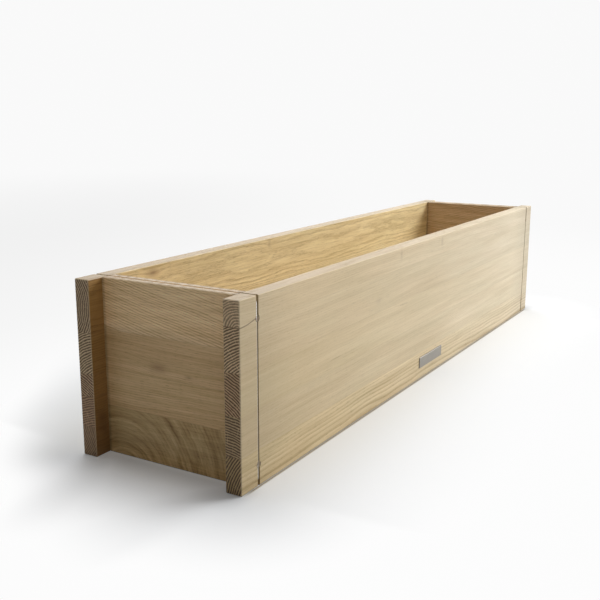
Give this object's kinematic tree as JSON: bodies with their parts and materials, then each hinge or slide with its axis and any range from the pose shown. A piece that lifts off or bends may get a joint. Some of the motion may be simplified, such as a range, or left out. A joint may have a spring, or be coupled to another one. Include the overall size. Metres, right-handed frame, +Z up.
{
  "type": "window box planter",
  "caption": "Long oak window box planter: side boards overhang inset end panels, a steel wire lies in a groove round each end, open top, drained bottom.",
  "frame": {"origin": "under the middle of the box, on the plane that it stands on", "axes": "+X along the length, -Y the front face with the label, +Z up"},
  "size_m": [1, 0.2215, 0.206],
  "materials": {
    "oak": "planed and bare",
    "oak_plug": "sanded flush",
    "wire_steel": "drawn",
    "ferrule_metal": "matte",
    "screw_steel": "plain",
    "label_steel": "satin"
  },
  "bodies": {
    "root": {"back_cleat": "oak", "back_stave_1": "oak", "back_stave_2": "oak", "back_stave_3": "oak", "back_stave_4": "oak", "back_stave_5": "oak", "bottom_screws": "screw_steel", "bottom_stave_1": "oak", "bottom_stave_2": "oak", "bottom_stave_3": "oak", "bottom_stave_4": "oak", "cleat_screws": "screw_steel", "front_cleat": "oak", "front_stave_1": "oak", "front_stave_2": "oak", "front_stave_3": "oak", "front_stave_4": "oak", "front_stave_5": "oak", "label_pins": "label_steel", "label_plate": "label_steel", "left_ferrule": "ferrule_metal", "left_panel_stave_1": "oak", "left_panel_stave_2": "oak", "left_panel_stave_3": "oak", "left_panel_stave_4": "oak", "left_wire": "wire_steel", "panel_screws": "screw_steel", "right_ferrule": "ferrule_metal", "right_panel_stave_1": "oak", "right_panel_stave_2": "oak", "right_panel_stave_3": "oak", "right_panel_stave_4": "oak", "right_wire": "wire_steel", "screw_plugs": "oak_plug"}
  },
  "joints": []
}
